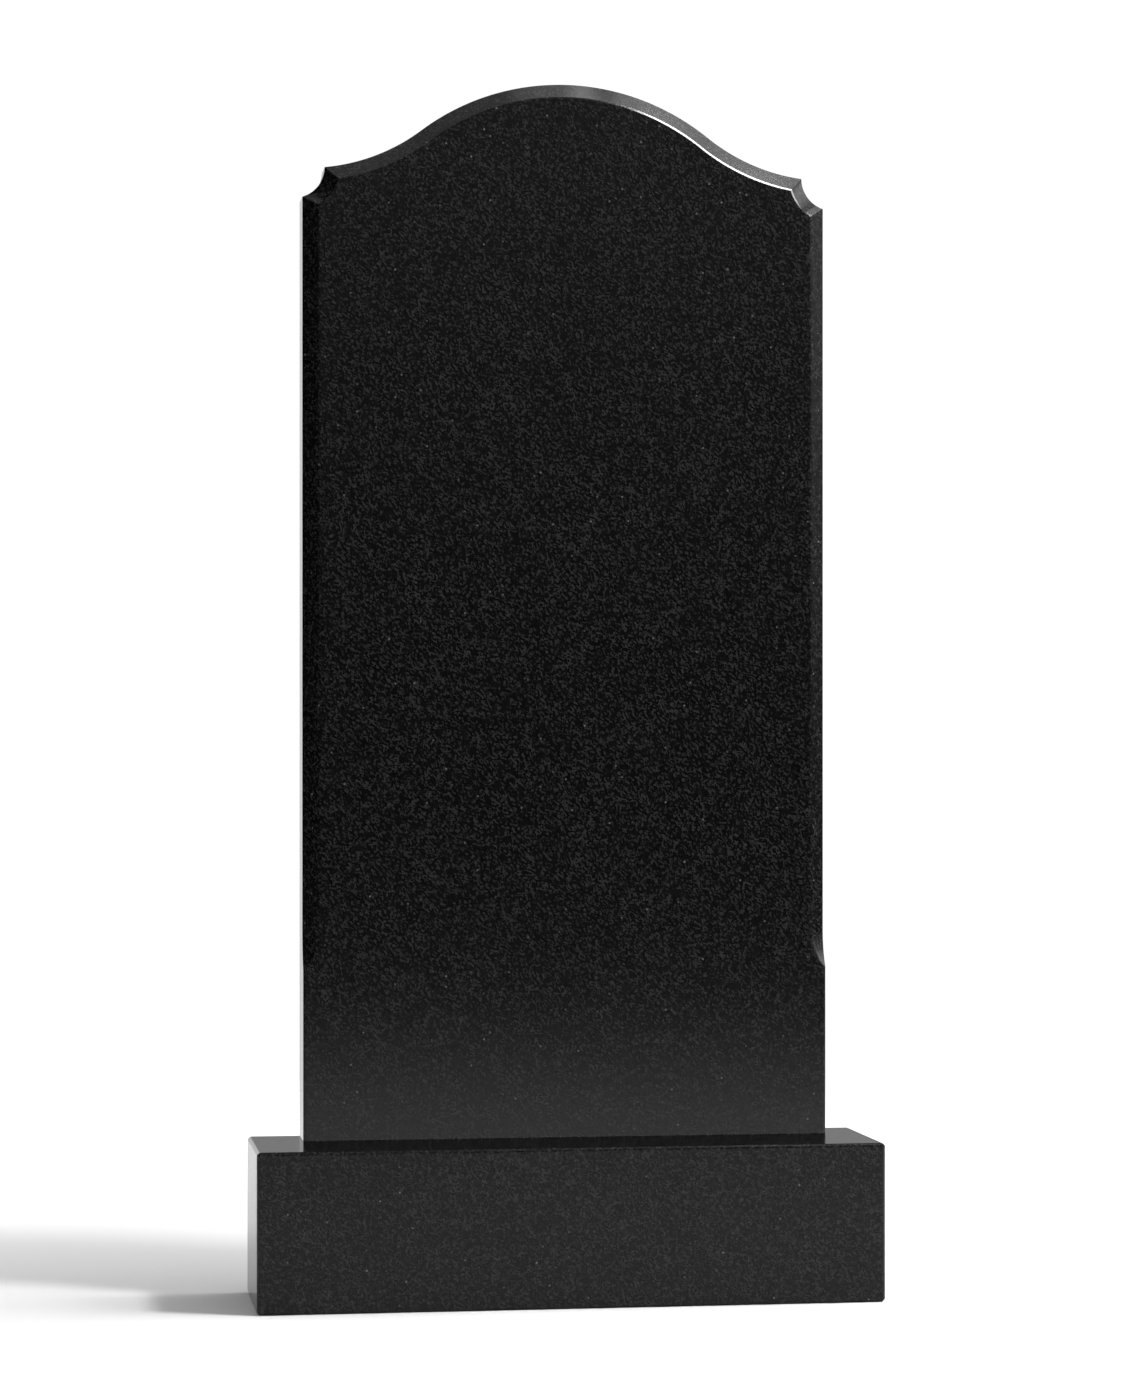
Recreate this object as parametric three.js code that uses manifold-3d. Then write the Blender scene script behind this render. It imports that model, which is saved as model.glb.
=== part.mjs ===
// A headstone in polished black granite: an upright slab with an ogee head, standing on an oblong plinth.
//
// Millimetres, +X to the right as seen from the front, +Y to the back, +Z up. The origin is the centre of the
// plinth's underside, so the headstone stands on the plane z = 0 and its carved face looks towards -Y.
//
// The slab is drawn flat, x across and y up, and its stone is counted along z from the back face (0) to the
// front face (slabThickness). A quarter turn about X then stands it on the plinth.

import * as THREE from 'three';
import { mergeVertices } from 'three/addons/utils/BufferGeometryUtils.js';
import Module from 'manifold-3d';

// Slab
const slabWidth = 500;
const slabHeight = 998;
const slabThickness = 50;
const slabArris = 1.5;

// Ogee head: a convex crown that turns into a hollow flare on each side. The flare is level where it ends.
const crownRise = 85;
const turnShare = 0.55;

// Round notch scooped out of each shoulder. Its centre stands outside the side and above the flare's end.
const notchRadius = 30;
const notchCentreOut = 9;
const notchCentreUp = 1.5;

// Broad chamfer round the front edge, and the run-out that ends it above the slab's foot
const chamferWidth = 14.5;
const chamferDepth = 12.5;
const stopHeight = 157;
const stopLength = 36;

// Plinth
const plinthWidth = 584;
const plinthDepth = 150;
const plinthHeight = 148;
const plinthArris = 3;

// Where the slab stands: its back is flush with the plinth's back, and it is set a little to the right.
const slabToTheRight = 7.4;
const seatGap = 0.3;

// How far a cutter passes the surface that it cuts, and how finely round work is divided
const cutPast = 4;
const arcDivisions = 14;
const notchDivisions = 96;

const halfSlab = slabWidth / 2;
const shoulderHeight = slabHeight - crownRise;
const chamferFace = Math.hypot(chamferWidth, chamferDepth);

const wasm = await Module();
wasm.setup();

function solidOf(geometry) {
  const bare = geometry.clone();
  bare.deleteAttribute('normal');
  bare.deleteAttribute('uv');
  const merged = mergeVertices(bare);
  const vertProperties = new Float32Array(merged.attributes.position.array);
  const triVerts = new Uint32Array(merged.index.array);
  return new wasm.Manifold(new wasm.Mesh({ numProp: 3, vertProperties, triVerts }));
}

function geometryOf(solid) {
  const mesh = solid.getMesh();
  const geometry = new THREE.BufferGeometry();
  geometry.setAttribute('position', new THREE.BufferAttribute(new Float32Array(mesh.vertProperties), 3));
  geometry.setIndex(new THREE.BufferAttribute(new Uint32Array(mesh.triVerts), 1));
  return geometry;
}

// The crown and the flares are arcs that touch on the straight line from the crown's top to the slab's side,
// turnShare of the way down it. Drawn from the right side, over the crown, to the left side.
function drawOgee(shape) {
  const chordSquared = halfSlab ** 2 + crownRise ** 2;
  const crownRadius = turnShare * chordSquared / (2 * crownRise);
  const flareRadius = (1 - turnShare) * chordSquared / (2 * crownRise);
  const turnAngle = 2 * Math.atan2(crownRise, halfSlab);
  const flareCentre = shoulderHeight + flareRadius;
  const down = -Math.PI / 2;
  const up = Math.PI / 2;
  shape.absarc(halfSlab, flareCentre, flareRadius, down, down - turnAngle, true);
  shape.absarc(0, slabHeight - crownRadius, crownRadius, up - turnAngle, up + turnAngle, false);
  shape.absarc(-halfSlab, flareCentre, flareRadius, down + turnAngle, down, true);
}

// The slab as sawn and polished, before its corners are notched and its front edge is chamfered
function slabBlank() {
  const outline = new THREE.Shape();
  outline.moveTo(-halfSlab, 0);
  outline.lineTo(halfSlab, 0);
  outline.lineTo(halfSlab, shoulderHeight);
  drawOgee(outline);
  outline.closePath();
  const blank = new THREE.ExtrudeGeometry(outline, {
    depth: slabThickness - 2 * slabArris,
    bevelThickness: slabArris,
    bevelSize: slabArris,
    bevelOffset: -slabArris,
    bevelSegments: 1,
    curveSegments: arcDivisions,
  });
  return solidOf(blank.translate(0, 0, slabArris));
}

// The same head on a larger block, with the chamfer along its front. What the slab has in common with it is
// the slab with its ogee chamfered. Its sides, foot and back lie outside the slab.
function headForm() {
  const past = chamferWidth + cutPast;
  const outline = new THREE.Shape();
  outline.moveTo(-halfSlab - past, -past);
  outline.lineTo(halfSlab + past, -past);
  outline.lineTo(halfSlab + past, shoulderHeight);
  outline.lineTo(halfSlab, shoulderHeight);
  drawOgee(outline);
  outline.lineTo(-halfSlab - past, shoulderHeight);
  outline.closePath();
  const form = new THREE.ExtrudeGeometry(outline, {
    depth: slabThickness,
    bevelThickness: chamferDepth,
    bevelSize: chamferWidth,
    bevelOffset: -chamferWidth,
    bevelSegments: 1,
    curveSegments: arcDivisions,
  });
  return solidOf(form.translate(0, 0, -chamferDepth));
}

// A round cutter right through the shoulder, flared in front for the chamfer and behind for the arris
function notchCutter(side) {
  const flare = chamferWidth / chamferDepth;
  const front = slabThickness + cutPast;
  const profile = [
    new THREE.Vector2(0, -cutPast),
    new THREE.Vector2(notchRadius + slabArris + cutPast, -cutPast),
    new THREE.Vector2(notchRadius, slabArris),
    new THREE.Vector2(notchRadius, slabThickness - chamferDepth),
    new THREE.Vector2(notchRadius + flare * (chamferDepth + cutPast), front),
    new THREE.Vector2(0, front),
  ];
  const cutter = new THREE.LatheGeometry(profile, notchDivisions);
  cutter.rotateX(Math.PI / 2);
  cutter.translate(side * (halfSlab + notchCentreOut), shoulderHeight + notchCentreUp, 0);
  return solidOf(cutter);
}

// The chamfer down one side. The cutter is drawn in the upright plane square to the chamfer, x outwards from
// the chamfer's face and y up, and it leaves the stone on an arc that meets the slab's corner at stopHeight.
function sideCutter(side) {
  const cornerOut = chamferWidth * chamferDepth / chamferFace;
  const wheelRadius = (stopLength ** 2 + cornerOut ** 2) / (2 * cornerOut);
  const stopTop = stopHeight + stopLength;
  const outer = cornerOut + cutPast;
  const sweep = Math.acos(1 - outer / wheelRadius);
  const profile = new THREE.Shape();
  profile.moveTo(outer, slabHeight);
  profile.lineTo(0, slabHeight);
  profile.lineTo(0, stopTop);
  profile.absarc(wheelRadius, stopTop, wheelRadius, Math.PI, Math.PI + sweep, false);
  profile.closePath();
  const length = chamferFace + 4 * cutPast;
  const cutter = new THREE.ExtrudeGeometry(profile, {
    depth: length,
    bevelEnabled: false,
    curveSegments: arcDivisions,
  });
  cutter.translate(0, 0, -length / 2);
  cutter.rotateY(Math.atan2(-chamferWidth, side * chamferDepth));
  cutter.translate(side * (halfSlab - chamferWidth / 2), 0, slabThickness - chamferDepth / 2);
  return solidOf(cutter);
}

function slabGeometry() {
  let stone = slabBlank().intersect(headForm());
  for (const side of [-1, 1]) {
    stone = stone.subtract(notchCutter(side)).subtract(sideCutter(side));
  }
  return geometryOf(stone);
}

// The footprint has its corners cut by the arris, and the bevel takes the same arris off top and foot.
function plinthGeometry() {
  const halfWidth = plinthWidth / 2;
  const halfDepth = plinthDepth / 2;
  const footprint = new THREE.Shape();
  footprint.moveTo(-halfWidth + plinthArris, -halfDepth);
  footprint.lineTo(halfWidth - plinthArris, -halfDepth);
  footprint.lineTo(halfWidth, -halfDepth + plinthArris);
  footprint.lineTo(halfWidth, halfDepth - plinthArris);
  footprint.lineTo(halfWidth - plinthArris, halfDepth);
  footprint.lineTo(-halfWidth + plinthArris, halfDepth);
  footprint.lineTo(-halfWidth, halfDepth - plinthArris);
  footprint.lineTo(-halfWidth, -halfDepth + plinthArris);
  footprint.closePath();
  const block = new THREE.ExtrudeGeometry(footprint, {
    depth: plinthHeight - 2 * plinthArris,
    bevelThickness: plinthArris,
    bevelSize: plinthArris,
    bevelOffset: -plinthArris,
    bevelSegments: 1,
  });
  return block.translate(0, 0, plinthArris);
}

function blackGranite() {
  return new THREE.MeshStandardMaterial({ color: 0x19191a, roughness: 0.12, metalness: 0 });
}

const slab = new THREE.Mesh(slabGeometry(), blackGranite());
slab.name = 'headstone_slab';
slab.rotation.x = Math.PI / 2;
slab.position.set(slabToTheRight, plinthDepth / 2, plinthHeight + seatGap);

const plinth = new THREE.Mesh(plinthGeometry(), blackGranite());
plinth.name = 'plinth';

const headstone = new THREE.Group();
headstone.add(plinth, slab);

export default headstone;
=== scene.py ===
"""A headstone in polished black granite: an ogee-headed slab on an oblong plinth, in a pale studio.

Metres, +X to the right as seen from the front, +Y to the back, +Z up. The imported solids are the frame: the
slab and the plinth take their place and overall size from it, and are drawn again here with their fine
edges.
"""
import math

import bmesh
import bpy
import numpy as np
from bpy.props import FloatProperty, FloatVectorProperty, PointerProperty
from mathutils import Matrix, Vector


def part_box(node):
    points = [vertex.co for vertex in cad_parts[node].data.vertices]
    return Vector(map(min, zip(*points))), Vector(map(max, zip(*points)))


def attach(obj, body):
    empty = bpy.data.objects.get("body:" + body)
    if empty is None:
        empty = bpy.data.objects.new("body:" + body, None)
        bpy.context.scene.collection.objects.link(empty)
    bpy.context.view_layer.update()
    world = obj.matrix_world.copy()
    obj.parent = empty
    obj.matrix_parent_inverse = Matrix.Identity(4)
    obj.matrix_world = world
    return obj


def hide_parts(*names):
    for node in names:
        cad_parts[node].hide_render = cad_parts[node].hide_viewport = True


bl_info = {
    "name": "Ogee headstone",
    "version": (1, 0, 0),
    "blender": (4, 5, 0),
    "location": "View3D > Sidebar > Headstone",
    "description": "An ogee-headed slab and its plinth in polished black granite",
    "category": "Add Mesh",
}

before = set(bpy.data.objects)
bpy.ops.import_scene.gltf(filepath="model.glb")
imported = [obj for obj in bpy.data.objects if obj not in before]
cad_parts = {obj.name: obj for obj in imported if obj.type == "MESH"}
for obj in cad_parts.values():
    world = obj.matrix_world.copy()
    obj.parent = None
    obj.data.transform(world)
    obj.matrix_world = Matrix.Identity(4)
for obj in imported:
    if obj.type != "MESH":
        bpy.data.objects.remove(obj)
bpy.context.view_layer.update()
SLAB_LOW, SLAB_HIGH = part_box("headstone_slab")
PLINTH_LOW, PLINTH_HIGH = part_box("plinth")
MM = 0.001

# The photograph's height, and what a camera fitted to it gives: its focal length and the height of the
# horizon in pixels, where it stands and which way it is turned
IMAGE_HEIGHT = 1399
FOCAL_PIXELS = 3512.74
HORIZON_PIXELS = 772.77
CAMERA_PLACE = (-0.4854, -3.2638, 0.4926)
CAMERA_TURN = (math.pi / 2, 0.0, -0.1472)
SENSOR = 36.0

# The slab stands this much over the plinth.
BEDDING = 0.02 * MM

# How finely the slab is drawn: points in each stretch of half its outline, and steps in the rounding of the
# back's arris and of the edge between side and chamfer
OUTLINE_POINTS = {"stop": 15, "notch": 40, "flare": 48, "crown": 64}
BACK_STEPS = 8
WALL_STEPS = 6

# The arris between chamfer and face is flat with eased ends. Each pair is the share of its reach that is
# still ahead on the chamfer and the share that is passed on the face.
FACE_ARRIS = ((1.0, 0.0), (0.75, 0.1), (0.1, 0.75), (0.0, 1.0))
PLINTH_ARRIS_STEPS = 6
PLINTH_ARRIS_FULLNESS = 0.35

# Edges with a turn of more than this stay crisp.
SLAB_SHARP = math.radians(12.5)
PLINTH_SHARP = math.radians(35)
DOUBLED = 1e-6

# Granite
GRAIN_LEAN = math.radians(45)
CHIP_SHARE = 0.55
DENSITY_PATCH = 7 * MM
DENSITY_CLOUD = 35 * MM
CRYSTAL_CONTRAST = 2.4
FLECK_CHANCE = (0.91, 0.98)
FLECK_REACH = (0.2, 0.08)
CHIP_ROUGHNESS = 0.05
PIT_DEPTH = 0.02 * MM
PIT_STRENGTH = 0.1
STONE_IOR = 1.5

# Studio
SLAB_MIDDLE = (0.1, 0.0, 0.9)
FLOOR_RADIUS = 7.5
FLOOR_SPOKES = 96
FLOOR_TURNS_BACK = (-0.7, 0.3)
FLOOR_GLOW_REACH = (0.35, 2.1)
FLOOR_FADE_BEHIND = (1.0, 2.8)
FLOOR_FADE_IN_FRONT = (1.0, 4.2)
FAR_FLOOR_GLOW = 0.5
PICTURE_WHITE = 1.02
DARK_ROOM = 0.01
BACKDROP = 0.42
BACKDROP_LEFT = 0.66
FRONT_WALL = 0.36
RIGHT_WALL = 0.55
RIGHT_PANEL = 2.4

# The lamps whose reflections belong on the slab's edges only
SLAB_LAMPS = ("key_shine", "edge_shine", "notch_shine", "crown_shine", "overhead_shine")


def length(name, description, default):
    return FloatProperty(name=name, description=description, default=default, unit="LENGTH")


def share(name, description, default):
    return FloatProperty(
        name=name, description=description, default=default, min=0.0, max=1.0, subtype="FACTOR"
    )


def watts(name, description, default):
    return FloatProperty(name=name, description=description, default=default, min=0.0, unit="POWER")


def grey(name, description, default):
    return FloatVectorProperty(
        name=name, description=description, default=default, size=3, min=0.0, max=1.0, subtype="COLOR"
    )


class SlabSizes(bpy.types.PropertyGroup):
    """Sizes of the upright slab. Its overall width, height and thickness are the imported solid's."""

    crown_rise: length("Crown rise", "Height of the crown over the shoulders", 85 * MM)
    turn_share: share("Turn", "Share of the way from crown to side at which the ogee turns hollow", 0.55)
    notch_radius: length("Notch radius", "Radius of the scoop out of each shoulder", 30 * MM)
    notch_out: length("Notch centre out", "How far the notch's centre stands outside the side", 9 * MM)
    notch_up: length("Notch centre up", "How far the notch's centre stands above the shoulder", 1.5 * MM)
    chamfer_width: length("Chamfer width", "Width of the front chamfer, seen from the front", 14.5 * MM)
    chamfer_depth: length("Chamfer depth", "Depth of the front chamfer, seen from the side", 12.5 * MM)
    stop_height: length("Stop height", "Height over the foot at which the side chamfers end", 157 * MM)
    stop_length: length("Stop length", "Height over which the side chamfers run out", 36 * MM)
    arris: length("Arris", "Fine arris on the edges that the chamfer leaves out", 1.5 * MM)
    face_round: length("Face arris", "Reach each way of the arris between face and chamfer", 1.2 * MM)
    wall_round: length("Wall arris", "Rounding each way of the edge between chamfer and side", 0.5 * MM)


class PlinthSizes(bpy.types.PropertyGroup):
    """Sizes of the plinth. Its overall width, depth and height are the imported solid's."""

    arris: length("Arris", "Arris on every edge of the block", 3 * MM)


class GraniteFinish(bpy.types.PropertyGroup):
    """Colours and grain of the polished black granite"""

    ground: grey("Ground", "Colour of the blackest crystals", (0.0018, 0.0018, 0.0018))
    crystal: grey("Crystal", "Colour of the palest common crystals", (0.0225, 0.0225, 0.0227))
    fleck: grey("Fleck", "Colour of the sparse bright flecks", (0.12, 0.12, 0.119))
    grain: length("Grain", "Size of a crystal", 1.5 * MM)
    fleck_spacing: length("Fleck spacing", "Size of the cells of which a few hold a fleck", 6.0 * MM)
    stretch: FloatProperty(
        name="Stretch", description="How many times longer than wide a crystal is", default=1.35, min=1.0
    )


class StudioLight(bpy.types.PropertyGroup):
    """Brightness of the pale studio. Some lamps light matt surfaces only and some show only as reflections
    in the polish, so that the white floor and the black stone can each be lit as they need."""

    paper: grey("Paper", "Colour of the floor", (0.82, 0.82, 0.82))
    key: watts("Key", "Soft key light from the upper right, on matt surfaces", 66.0)
    side: watts("Side", "Large soft panel on the right, on matt surfaces", 150.0)
    sky: watts("Sky", "Very wide ceiling light, on matt surfaces", 420.0)
    key_shine: watts("Key shine", "The key light's reflection in the polish", 175.0)
    edge_shine: watts("Edge shine", "Lamp that draws the bright line along the head's right arris", 30.0)
    notch_shine: watts("Notch shine", "Lamp that draws the fainter line along the right notch", 40.0)
    crown_shine: watts("Crown shine", "Reflection of a panel above the crown", 9.0)
    overhead_shine: watts("Overhead shine", "Reflection of a small lamp straight above the crown", 0.85)
    ceiling_shine: watts("Ceiling shine", "The ceiling's reflection in the polish", 42.0)
    side_shine: watts("Side shine", "Reflection of a panel high on the right", 8.0)


class Value:
    """A socket in a shader tree, with the operators that its maths is written in."""

    def __init__(self, tree, socket):
        self.tree = tree
        self.socket = socket

    def math(self, operation, *others):
        return self.tree.node("ShaderNodeMath", self, *others, operation=operation)

    def beside(self, output):
        """Another output of the same node."""
        return Value(self.tree, self.socket.node.outputs[output])

    def __add__(self, other):
        return self.math("ADD", other)

    def __sub__(self, other):
        return self.math("SUBTRACT", other)

    def __mul__(self, other):
        return self.math("MULTIPLY", other)

    def __truediv__(self, other):
        return self.math("DIVIDE", other)

    def __pow__(self, other):
        return self.math("POWER", other)

    def __rsub__(self, other):
        return self.tree.node("ShaderNodeMath", other, self, operation="SUBTRACT")

    __radd__ = __add__
    __rmul__ = __mul__

    def ramp(self, low, high):
        """0 below low, 1 above high, smooth between; the other way round where low is above high."""
        settings = {"interpolation_type": "SMOOTHSTEP"}
        if low < high:
            return self.tree.node("ShaderNodeMapRange", self, low, high, 0.0, 1.0, **settings)
        return self.tree.node("ShaderNodeMapRange", self, high, low, 1.0, 0.0, **settings)


class NodeTree:
    """A node tree that is built node by node."""

    def __init__(self, group):
        self.nodes = group.nodes
        self.links = group.links

    def put(self, socket, value):
        if isinstance(value, Value):
            self.links.new(value.socket, socket)
        else:
            socket.default_value = value

    def node(self, kind, *values, out=0, inputs=None, **settings):
        """Adds a node, sets its settings and then its inputs, in order or by name, and gives its output."""
        made = self.nodes.new(kind)
        for name, setting in settings.items():
            setattr(made, name, setting)
        for socket, value in zip(made.inputs, values):
            if value is not None:
                self.put(socket, value)
        for name, value in (inputs or {}).items():
            self.put(made.inputs[name], value)
        return Value(self, made.outputs[out]) if made.outputs else None

    def mix(self, factor, first, second):
        """A colour between first, at factor 0, and second, at factor 1."""
        number_and_vector_inputs = (None,) * 5
        return self.node(
            "ShaderNodeMix", factor, *number_and_vector_inputs, first, second, out=2, data_type="RGBA"
        )


class Shader(NodeTree):
    """The node tree of a material or of the world, started afresh."""

    def __init__(self, owner):
        owner.use_nodes = True
        owner.node_tree.nodes.clear()
        super().__init__(owner.node_tree)


def opaque(colour):
    return (*colour, 1.0)


def granite(name, finish, roughness, shine):
    """Polished black granite: close crystals of every grey from black up, drawn out a little along one
    diagonal, patches and faint clouds of paler and darker crystal, and sparse bright flecks."""
    material = bpy.data.materials.new(name)
    tree = Shader(material)
    place = tree.node("ShaderNodeTexCoord", out=3)
    grain = tree.node(
        "ShaderNodeMapping",
        place,
        vector_type="TEXTURE",
        inputs={"Rotation": (0.0, GRAIN_LEAN, 0.0), "Scale": (finish.stretch, 1.0, 1.0)},
    )
    crystals = tree.node("ShaderNodeTexVoronoi", grain, inputs={"Scale": 1 / finish.grain}, out=1)
    chip_size = CHIP_SHARE * finish.grain
    chips = tree.node("ShaderNodeTexVoronoi", grain, inputs={"Scale": 1 / chip_size}, out=1)
    crystal = tree.node("ShaderNodeSeparateColor", crystals)
    chip = tree.node("ShaderNodeSeparateColor", chips)
    patch = tree.node("ShaderNodeTexNoise", place, inputs={"Scale": 1 / DENSITY_PATCH, "Detail": 2.0})
    cloud = tree.node("ShaderNodeTexNoise", place, inputs={"Scale": 1 / DENSITY_CLOUD, "Detail": 3.0})
    density = (0.7 + 0.6 * cloud) * (0.6 + 0.8 * patch.ramp(0.3, 0.7))
    body = tree.mix(
        crystal**CRYSTAL_CONTRAST * (0.5 + chip) * density,
        opaque(finish.ground),
        opaque(finish.crystal),
    )

    spacing = {"Scale": 1 / finish.fleck_spacing}
    spot = tree.node("ShaderNodeTexVoronoi", place, inputs=spacing, out=1)
    near = tree.node("ShaderNodeTexVoronoi", place, inputs=spacing)
    chance = tree.node("ShaderNodeSeparateColor", spot)
    flecks = chance.ramp(*FLECK_CHANCE) * near.ramp(*FLECK_REACH)
    colour = tree.mix(flecks, body, opaque(finish.fleck))

    pits = tree.node(
        "ShaderNodeBump",
        inputs={"Strength": PIT_STRENGTH, "Distance": PIT_DEPTH, "Height": chip},
    )
    surface = tree.node(
        "ShaderNodeBsdfPrincipled",
        inputs={
            "Base Color": colour,
            "Roughness": roughness + CHIP_ROUGHNESS * chip,
            "Normal": pits,
            "IOR": STONE_IOR,
            "Specular IOR Level": shine,
        },
    )
    tree.node("ShaderNodeOutputMaterial", surface)
    return material


def spread(count, first, last):
    return np.linspace(first, last, count)


def round_part(centre, radius, first, last, count):
    """Points of an arc, by angle from +x."""
    angles = spread(count, first, last)
    return [(centre[0] + radius * math.cos(a), centre[1] + radius * math.sin(a)) for a in angles]


def lower_crossing(centre_a, radius_a, centre_b, radius_b):
    """The lower of the two points where two circles cross"""
    a, b = Vector(centre_a), Vector(centre_b)
    apart = (b - a).length
    along = (radius_a**2 - radius_b**2 + apart**2) / (2 * apart)
    across = math.sqrt(radius_a**2 - along**2)
    ahead = (b - a) / apart
    middle = a + ahead * along
    side = Vector((-ahead.y, ahead.x)) * across
    return min(middle + side, middle - side, key=lambda point: point.y)


def angle_at(centre, point):
    return math.atan2(point[1] - centre[1], point[0] - centre[0])


def right_half(sizes, half, height, inset):
    """The right half of the slab's outline set in by inset, from the foot's corner to the crown's top. It
    has as many points whatever the inset is, so that two such outlines match point by point."""
    side = half - inset
    shoulder = height - sizes.crown_rise
    chord = half**2 + sizes.crown_rise**2
    crown_radius = sizes.turn_share * chord / (2 * sizes.crown_rise)
    flare_radius = (1 - sizes.turn_share) * chord / (2 * sizes.crown_rise)
    turn = 2 * math.atan2(sizes.crown_rise, half)
    flare_centre = (half, shoulder + flare_radius)
    crown_centre = (0.0, height - crown_radius)
    notch_centre = (half + sizes.notch_out, shoulder + sizes.notch_up)
    notch = sizes.notch_radius + inset
    drop = math.sqrt(notch**2 - (notch_centre[0] - side) ** 2)
    lower_end = (side, notch_centre[1] - drop)
    tip = lower_crossing(flare_centre, flare_radius + inset, notch_centre, notch)
    if tip.x > notch_centre[0]:
        raise ValueError("the notch doesn't meet the flare")
    stop_low = sizes.stop_height
    stop_high = sizes.stop_height + sizes.stop_length
    side_heights = [0.0, stop_low - sizes.arris, *spread(OUTLINE_POINTS["stop"], stop_low, stop_high)]
    points = [(side, y) for y in side_heights]
    first = angle_at(notch_centre, lower_end) % (2 * math.pi)
    last = angle_at(notch_centre, tip) % (2 * math.pi)
    up = math.pi / 2
    points += round_part(notch_centre, notch, first, last, OUTLINE_POINTS["notch"])
    flare = round_part(
        flare_centre, flare_radius + inset, angle_at(flare_centre, tip), -up - turn, OUTLINE_POINTS["flare"]
    )
    crown = round_part(crown_centre, crown_radius - inset, up - turn, up, OUTLINE_POINTS["crown"])
    return points + flare[1:] + crown[1:]


def whole_outline(half_points):
    """The right half and its mirror image, from the foot's right corner round to its left corner"""
    mirrored = [(-x, y) for x, y in reversed(half_points[:-1])]
    return half_points + mirrored


def slab_seed(sizes, width, height):
    """The slab's flat outline as one face at the back, facing backwards, with what the stages need on each
    point: the way in from the edge, and how much of the chamfer it has. The foot is left square."""
    half = width / 2
    outer = whole_outline(right_half(sizes, half, height, 0.0))
    inner = whole_outline(right_half(sizes, half, height, sizes.chamfer_width))
    ways = []
    reaches = []
    stop_high = sizes.stop_height + sizes.stop_length
    for index, ((x, y), (inner_x, inner_y)) in enumerate(zip(outer, inner)):
        way = Vector((inner_x - x, inner_y - y)) / sizes.chamfer_width
        if index in (0, len(outer) - 1):
            way.y = 0.0
        ways.append((way.x, way.y, 0.0))
        left = min(max((stop_high - y) / sizes.stop_length, 0.0), 1.0)
        reaches.append(1.0 - left**2)
    mesh = bpy.data.meshes.new("slab_seed")
    mesh.from_pydata([(x, y, 0.0) for x, y in outer], [], [tuple(range(len(outer)))])
    way_in = mesh.attributes.new("way_in", "FLOAT_VECTOR", "POINT")
    way_in.data.foreach_set("vector", np.array(ways).ravel())
    reach = mesh.attributes.new("reach", "FLOAT", "POINT")
    reach.data.foreach_set("value", reaches)
    return mesh


class Shaper(NodeTree):
    """A geometry node tree, with the inputs that are asked of it."""

    def __init__(self, name):
        self.group = bpy.data.node_groups.new(name, "GeometryNodeTree")
        super().__init__(self.group)
        for direction in ("INPUT", "OUTPUT"):
            self.group.interface.new_socket("Geometry", in_out=direction, socket_type="NodeSocketGeometry")
        self.entry = self.nodes.new("NodeGroupInput")
        self.exit = self.nodes.new("NodeGroupOutput")
        self.start = Value(self, self.entry.outputs["Geometry"])
        self.identifiers = {}

    def input(self, name, kind="NodeSocketFloat"):
        socket = self.group.interface.new_socket(name, in_out="INPUT", socket_type=kind)
        self.identifiers[name] = socket.identifier
        return Value(self, self.entry.outputs[name])

    def set_inputs(self, modifier, values):
        for name, value in values.items():
            modifier[self.identifiers[name]] = value


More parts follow.
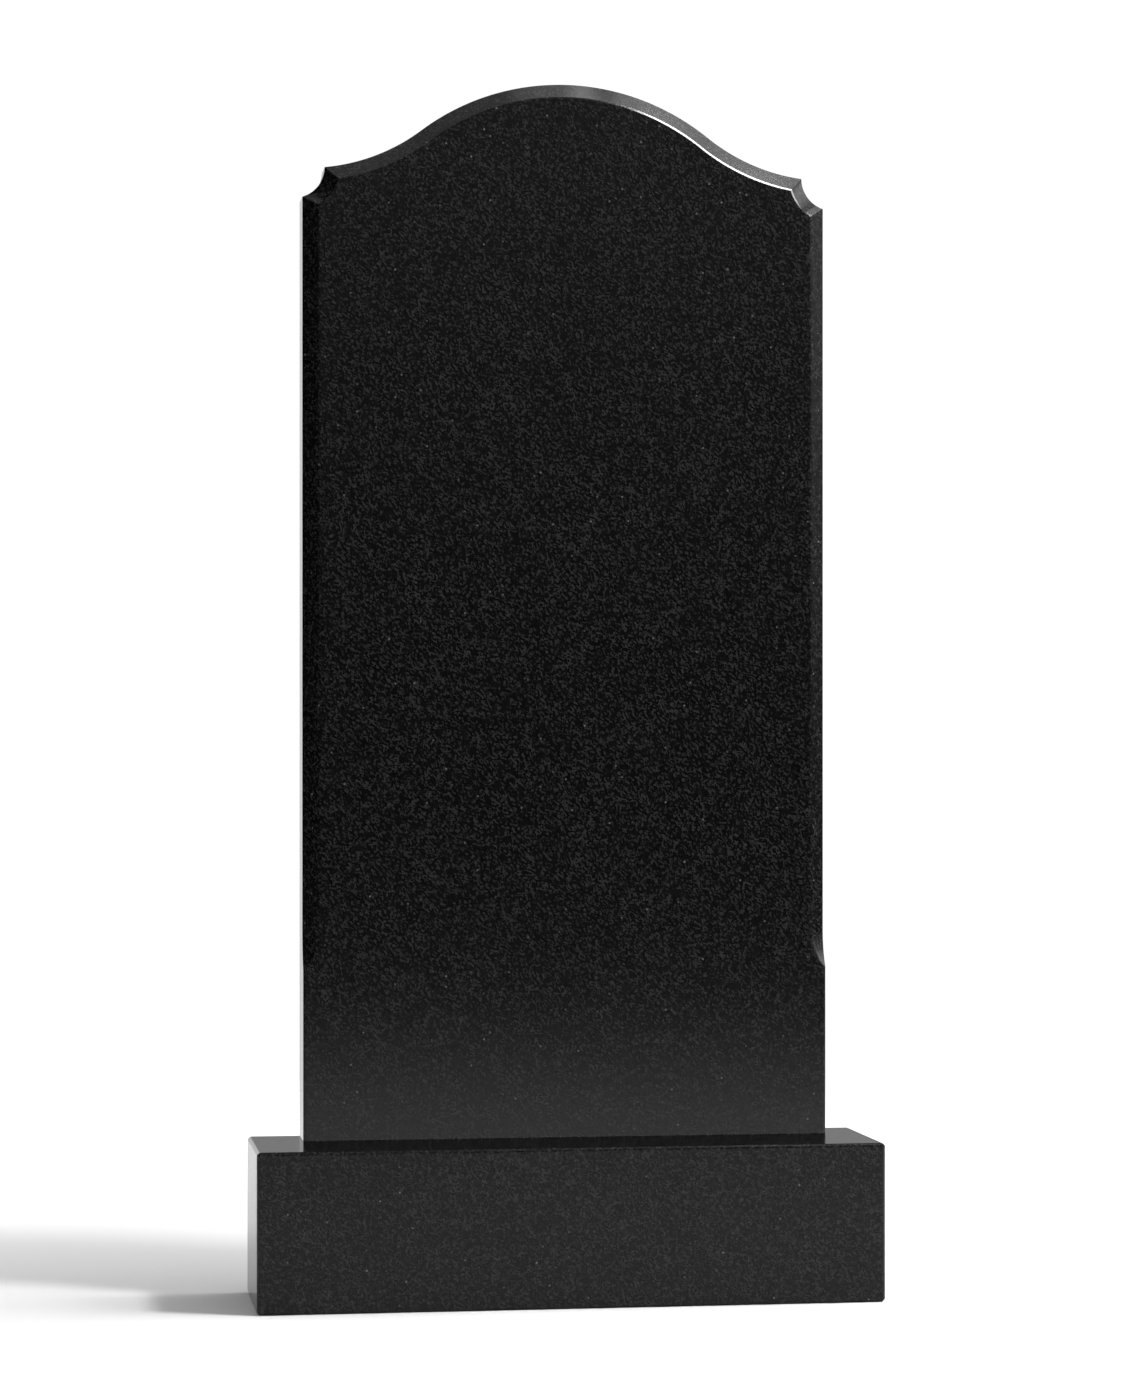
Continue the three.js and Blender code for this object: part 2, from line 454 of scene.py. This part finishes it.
def slab_tree():
    """Turns the seed face into the slab by a row of stages. Each extrudes the face and moves it along the
    mitre and forward through the stone. A flipped copy of the seed then closes the back."""
    tree = Shaper("Slab from its outline")
    thickness = tree.input("Thickness")
    chamfer_width = tree.input("Chamfer width")
    chamfer_depth = tree.input("Chamfer depth")
    arris = tree.input("Arris")
    face_round = tree.input("Face arris")
    wall_round = tree.input("Wall arris")
    material = tree.input("Granite", "NodeSocketMaterial")

    way_in = tree.node("GeometryNodeInputNamedAttribute", "way_in", data_type="FLOAT_VECTOR")
    reach = tree.node("GeometryNodeInputNamedAttribute", "reach", data_type="FLOAT")
    width = tree.node("ShaderNodeMath", chamfer_width * reach, arris, operation="MAXIMUM")
    depth = tree.node("ShaderNodeMath", chamfer_depth * reach, arris, operation="MAXIMUM")
    slope = (width * width + depth * depth) ** 0.5
    in_share = width / slope
    back_share = depth / slope

    stages = []
    for step in range(BACK_STEPS + 1):
        turn = math.pi / 2 * step / BACK_STEPS
        stages.append((arris * (1 - math.sin(turn)), arris * (1 - math.cos(turn))))
    edge = thickness - depth
    for step in range(WALL_STEPS + 1):
        after = (step / WALL_STEPS) ** 2
        before = (1 - step / WALL_STEPS) ** 2
        inward = wall_round * in_share * after
        forward = edge - wall_round * before + wall_round * back_share * after
        stages.append((inward, forward))
    for before, after in FACE_ARRIS:
        inward = width - face_round * in_share * before + face_round * after
        forward = thickness - face_round * back_share * before
        stages.append((inward, forward))

    seed_place = tree.node("GeometryNodeInputPosition")
    kept = tree.node(
        "GeometryNodeStoreNamedAttribute",
        tree.start,
        inputs={"Name": "flat_place", "Value": seed_place},
        data_type="FLOAT_VECTOR",
        domain="POINT",
    )
    flat = tree.node("GeometryNodeInputNamedAttribute", "flat_place", data_type="FLOAT_VECTOR")
    top = None
    geometry = kept
    for index, (inward, forward) in enumerate(stages):
        moved_in = tree.node("ShaderNodeVectorMath", way_in, operation="SCALE", inputs={"Scale": inward})
        ahead = tree.node("ShaderNodeCombineXYZ", 0.0, 0.0, forward)
        place = tree.node("ShaderNodeVectorMath", flat, moved_in, operation="ADD")
        place = tree.node("ShaderNodeVectorMath", place, ahead, operation="ADD")
        if index:
            chosen = {"Selection": top} if top else {}
            extruded = tree.node(
                "GeometryNodeExtrudeMesh",
                geometry,
                inputs={"Offset Scale": 0.0, "Individual": False, **chosen},
                mode="FACES",
            )
            top = extruded.beside("Top")
            geometry = extruded
        chosen = {"Selection": top} if top else {}
        geometry = tree.node("GeometryNodeSetPosition", geometry, inputs={"Position": place, **chosen})
    back_in = tree.node("ShaderNodeVectorMath", way_in, operation="SCALE", inputs={"Scale": arris})
    back_place = tree.node("ShaderNodeVectorMath", flat, back_in, operation="ADD")
    back = tree.node("GeometryNodeSetPosition", kept, inputs={"Position": back_place})
    back = tree.node("GeometryNodeFlipFaces", back)
    joined = tree.node("GeometryNodeJoinGeometry", geometry)
    tree.put(joined.socket.node.inputs[0], back)
    geometry = tree.node("GeometryNodeMergeByDistance", joined, inputs={"Distance": DOUBLED})
    geometry = tree.node("GeometryNodeSetShadeSmooth", geometry)
    geometry = tree.node("GeometryNodeRealizeInstances", geometry)
    geometry = tree.node("GeometryNodeSetMaterial", geometry, inputs={"Material": material})
    tree.put(tree.exit.inputs["Geometry"], geometry)
    return tree


def stand_up(mesh, x, back, foot):
    """Turns a mesh drawn flat, x across, y up and z from back to front, upright and to its place."""
    count = len(mesh.vertices)
    drawn = np.empty(count * 3)
    mesh.vertices.foreach_get("co", drawn)
    drawn = drawn.reshape(-1, 3)
    placed = np.column_stack((drawn[:, 0] + x, back - drawn[:, 2], drawn[:, 1] + foot))
    mesh.vertices.foreach_set("co", placed.ravel())
    mesh.update()


def outward(mesh):
    """Merges doubled points and turns every face outwards."""
    work = bmesh.new()
    work.from_mesh(mesh)
    bmesh.ops.remove_doubles(work, verts=work.verts, dist=DOUBLED)
    bmesh.ops.recalc_face_normals(work, faces=work.faces)
    work.to_mesh(mesh)
    work.free()


def evaluated_copy(holder, name):
    """The holder's mesh with its modifiers in it, as a plain mesh. The holder itself is removed."""
    graph = bpy.context.evaluated_depsgraph_get()
    mesh = bpy.data.meshes.new_from_object(holder.evaluated_get(graph))
    mesh.name = name
    holder.modifiers.clear()
    bpy.data.objects.remove(holder)
    return mesh


def shown_piece(name, mesh, material, node):
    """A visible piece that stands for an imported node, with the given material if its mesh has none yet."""
    piece = bpy.data.objects.new(name, mesh)
    bpy.context.scene.collection.objects.link(piece)
    if not mesh.materials:
        mesh.materials.append(material)
    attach(piece, "root")
    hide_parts(node)
    return piece


def holder_of(mesh):
    """An object that holds the mesh while its modifiers work"""
    holder = bpy.data.objects.new(mesh.name, mesh)
    bpy.context.scene.collection.objects.link(holder)
    return holder


def weigh_normals(mesh, name, sharp):
    """Gives the mesh normals by face area, so that the broad faces stay flat up to their eased edges. Edges
    with a turn of more than sharp stay crisp."""
    mesh.shade_smooth()
    mesh.set_sharp_from_angle(angle=sharp)
    holder = holder_of(mesh)
    modifier = holder.modifiers.new("Flat faces", "WEIGHTED_NORMAL")
    modifier.mode = "FACE_AREA"
    modifier.weight = 100
    modifier.keep_sharp = True
    return evaluated_copy(holder, name)


class HEADSTONE_OT_slab(bpy.types.Operator):
    """Builds the upright slab: ogee head, notched shoulders, front chamfer with its stops, eased edges"""

    bl_idname = "headstone.slab"
    bl_label = "Slab"

    def execute(self, context):
        sizes = context.scene.headstone_slab_sizes
        finish = context.scene.headstone_granite
        material = granite("slab_granite", finish, roughness=0.13, shine=0.34)
        extent = SLAB_HIGH - SLAB_LOW
        foot = PLINTH_HIGH.z + BEDDING
        holder = holder_of(slab_seed(sizes, extent.x, SLAB_HIGH.z - foot))
        tree = slab_tree()
        modifier = holder.modifiers.new("Slab", "NODES")
        modifier.node_group = tree.group
        tree.set_inputs(modifier, {
            "Thickness": extent.y,
            "Chamfer width": sizes.chamfer_width,
            "Chamfer depth": sizes.chamfer_depth,
            "Arris": sizes.arris,
            "Face arris": sizes.face_round,
            "Wall arris": sizes.wall_round,
            "Granite": material,
        })
        mesh = evaluated_copy(holder, "slab_drawn")
        stand_up(mesh, (SLAB_LOW.x + SLAB_HIGH.x) / 2, SLAB_HIGH.y, foot)
        outward(mesh)
        mesh = weigh_normals(mesh, "slab", SLAB_SHARP)
        shown_piece("slab", mesh, material, "headstone_slab")
        return {"FINISHED"}


class HEADSTONE_OT_plinth(bpy.types.Operator):
    """Builds the plinth: an oblong block with an eased arris on every edge"""

    bl_idname = "headstone.plinth"
    bl_label = "Plinth"

    def execute(self, context):
        sizes = context.scene.headstone_plinth_sizes
        finish = context.scene.headstone_granite
        material = granite("plinth_granite", finish, roughness=0.14, shine=0.19)
        mesh = bpy.data.meshes.new("plinth_drawn")
        work = bmesh.new()
        bmesh.ops.create_cube(work, size=1.0)
        for vertex in work.verts:
            for axis in range(3):
                vertex.co[axis] = PLINTH_HIGH[axis] if vertex.co[axis] > 0 else PLINTH_LOW[axis]
        bmesh.ops.bevel(
            work,
            geom=work.edges[:],
            offset=sizes.arris,
            offset_type="OFFSET",
            segments=PLINTH_ARRIS_STEPS,
            profile=PLINTH_ARRIS_FULLNESS,
            affect="EDGES",
        )
        work.to_mesh(mesh)
        work.free()
        mesh = weigh_normals(mesh, "plinth_block", PLINTH_SHARP)
        piece = shown_piece("plinth_block", mesh, material, "plinth")
        # In the photograph the slab's face mirrors the pale floor right down to its foot.
        piece.visible_glossy = False
        leave_out(piece, SLAB_LAMPS)
        return {"FINISHED"}


def paper(name, colour):
    """Pale studio paper. It glows a little far out and then fades away, sooner behind the headstone than in
    front, so that it has no edge and the polished face mirrors the dark room over the floor."""
    material = bpy.data.materials.new(name)
    tree = Shader(material)
    place = tree.node("ShaderNodeTexCoord", out=3)
    away = tree.node("ShaderNodeVectorMath", place, operation="LENGTH", out=1)
    apart = tree.node("ShaderNodeSeparateXYZ", place)
    behind = apart.beside("Y").ramp(*FLOOR_TURNS_BACK)
    mottle = tree.node("ShaderNodeTexNoise", place, inputs={"Scale": 3.0, "Detail": 2.0})
    lighter = tuple(min(1.0, c * 1.02) for c in colour)
    shade = tree.mix(mottle, opaque(colour), opaque(lighter))
    glow = away.ramp(*FLOOR_GLOW_REACH) * (0.45 + 0.55 * behind)
    sheet = tree.node(
        "ShaderNodeBsdfPrincipled",
        inputs={
            "Base Color": shade,
            "Roughness": 1.0,
            "Specular IOR Level": 0.0,
            "Emission Color": tree.mix(glow, opaque((0.0,) * 3), opaque((FAR_FLOOR_GLOW,) * 3)),
            "Emission Strength": 1.0,
        },
    )
    clear = tree.node("ShaderNodeBsdfTransparent")
    fade = away.ramp(*FLOOR_FADE_BEHIND) * behind + away.ramp(*FLOOR_FADE_IN_FRONT) * (1 - behind)
    surface = tree.node("ShaderNodeMixShader", fade, sheet, clear)
    tree.node("ShaderNodeOutputMaterial", surface)
    return material


def floor_disc():
    mesh = bpy.data.meshes.new("floor")
    work = bmesh.new()
    bmesh.ops.create_circle(work, cap_ends=True, radius=FLOOR_RADIUS, segments=FLOOR_SPOKES)
    work.to_mesh(mesh)
    work.free()
    floor = bpy.data.objects.new("floor", mesh)
    bpy.context.scene.collection.objects.link(floor)
    return floor


def lamp(name, place, size, power, target=SLAB_MIDDLE, matt=True, polish=True):
    """A square area light. It lights matt surfaces, shows in the polish, or both. The camera doesn't see
    it."""
    light = bpy.data.lights.new(name, "AREA")
    light.shape = "SQUARE"
    light.size = size
    light.energy = power
    holder = bpy.data.objects.new(name, light)
    holder.location = place
    holder.rotation_mode = "QUATERNION"
    holder.rotation_quaternion = (Vector(target) - Vector(place)).to_track_quat("-Z", "Y")
    holder.visible_camera = False
    holder.visible_diffuse = matt
    holder.visible_glossy = polish
    bpy.context.scene.collection.objects.link(holder)
    return holder


def leave_out(piece, lamp_names):
    """Keeps some lamps off a piece, so that they draw no line of light on its arrises. A lamp that isn't in
    the scene is passed over."""
    left_out = bpy.data.collections.new(f"{piece.name}_left_out")
    left_out.objects.link(piece)
    left_out.collection_objects[0].light_linking.link_state = "EXCLUDE"
    for name in lamp_names:
        if name in bpy.data.objects:
            bpy.data.objects[name].light_linking.receiver_collection = left_out


def toward(azimuth, elevation, distance):
    """A place seen from the slab's upper half, by degrees round to the right of the front and degrees up"""
    across, up = math.radians(azimuth), math.radians(elevation)
    way = Vector((math.sin(across) * math.cos(up), -math.cos(across) * math.cos(up), math.sin(up)))
    return Vector(SLAB_MIDDLE) + way * distance


def studio_world():
    """White where the camera looks. For the polish, a dark room with a pale backdrop, brighter on the left,
    and with walls that grow paler upwards in front and on the right."""
    world = bpy.data.worlds.new("studio")
    bpy.context.scene.world = world
    tree = Shader(world)
    direction = tree.node("ShaderNodeTexCoord")
    x = tree.node("ShaderNodeSeparateXYZ", direction)
    y = x.beside("Y")
    z = x.beside("Z")
    low_behind = y.ramp(0.6, 0.9) * z.ramp(0.30, 0.15)
    backdrop = low_behind * (BACKDROP + BACKDROP_LEFT * x.ramp(0.06, -0.06))
    front = y.ramp(-0.6, -0.9) * z.ramp(0.0, 0.35) * FRONT_WALL
    right = x.ramp(0.8, 0.97) * z.ramp(-0.02, 0.2) * RIGHT_WALL
    upper_right = x.ramp(0.6, 0.85) * z.ramp(0.2, 0.42) * RIGHT_PANEL
    room = backdrop + front + right + upper_right + DARK_ROOM
    camera_looks = tree.node("ShaderNodeLightPath")
    strength = room + camera_looks * (PICTURE_WHITE - room)
    background = tree.node("ShaderNodeBackground", opaque((1.0,) * 3), strength)
    tree.node("ShaderNodeOutputWorld", background)


def photo_camera():
    """The camera at the photograph's place. It looks level, and its shift puts the horizon at its height."""
    camera = bpy.data.cameras.new("camera")
    camera.sensor_width = SENSOR
    camera.lens = FOCAL_PIXELS / IMAGE_HEIGHT * SENSOR
    camera.shift_y = (HORIZON_PIXELS - IMAGE_HEIGHT / 2) / IMAGE_HEIGHT
    camera.clip_start = 0.1
    camera.clip_end = 100.0
    holder = bpy.data.objects.new("camera", camera)
    holder.location = CAMERA_PLACE
    holder.rotation_euler = CAMERA_TURN
    bpy.context.scene.collection.objects.link(holder)
    bpy.context.scene.camera = holder


class HEADSTONE_OT_stage(bpy.types.Operator):
    """Sets the pale floor, the soft lights and the camera"""

    bl_idname = "headstone.stage"
    bl_label = "Stage"

    def execute(self, context):
        light = context.scene.headstone_light
        floor = floor_disc()
        floor.data.materials.append(paper("studio_paper", light.paper))
        studio_world()
        lamp("key", place=(1.55, -0.85, 3.0), size=0.45, power=light.key, polish=False)
        lamp("side", place=(3.4, -0.6, 2.4), size=3.0, power=light.side, polish=False)
        lamp("sky", place=(0.0, 0.0, 6.0), target=(0.0, 0.0, 0.0), size=14.0, power=light.sky, polish=False)
        lamp("key_shine", place=(1.32, -0.56, 3.04), size=0.8, power=light.key_shine, matt=False)
        lamp(
            "edge_shine",
            place=(0.83, -0.86, 2.12),
            target=(0.15, 0.0, 1.1),
            size=0.4,
            power=light.edge_shine,
            matt=False,
        )
        lamp("notch_shine", place=toward(55, 24, 2.7), size=0.8, power=light.notch_shine, matt=False)
        lamp("crown_shine", place=toward(55, 76, 2.6), size=0.9, power=light.crown_shine, matt=False)
        lamp("overhead_shine", place=toward(135, 88, 2.6), size=0.6, power=light.overhead_shine, matt=False)
        lamp(
            "ceiling_shine",
            place=(0.6, 0.0, 4.4),
            target=(0.6, 0.0, 0.0),
            size=5.0,
            power=light.ceiling_shine,
            matt=False,
        )
        lamp("side_shine", place=toward(85, 62, 2.8), size=1.2, power=light.side_shine, matt=False)
        photo_camera()
        context.scene.view_settings.view_transform = "Standard"
        return {"FINISHED"}


class HEADSTONE_PT_panel(bpy.types.Panel):
    """Lists the steps that build the headstone"""

    bl_idname = "HEADSTONE_PT_panel"
    bl_label = "Headstone"
    bl_space_type = "VIEW_3D"
    bl_region_type = "UI"
    bl_category = "Headstone"

    def draw(self, context):
        for step in STEPS:
            self.layout.operator(step.bl_idname)


SETTINGS = {
    "headstone_slab_sizes": SlabSizes,
    "headstone_plinth_sizes": PlinthSizes,
    "headstone_granite": GraniteFinish,
    "headstone_light": StudioLight,
}
STEPS = (HEADSTONE_OT_stage, HEADSTONE_OT_plinth, HEADSTONE_OT_slab)


def register():
    for group in SETTINGS.values():
        bpy.utils.register_class(group)
    for name, group in SETTINGS.items():
        setattr(bpy.types.Scene, name, PointerProperty(type=group))
    for step in (*STEPS, HEADSTONE_PT_panel):
        bpy.utils.register_class(step)


def unregister():
    for step in (HEADSTONE_PT_panel, *reversed(STEPS)):
        bpy.utils.unregister_class(step)
    for name, group in SETTINGS.items():
        delattr(bpy.types.Scene, name)
        bpy.utils.unregister_class(group)


def main():
    register()
    bpy.ops.headstone.stage()
    bpy.ops.headstone.plinth()
    bpy.ops.headstone.slab()


if __name__ == "__main__":
    main()
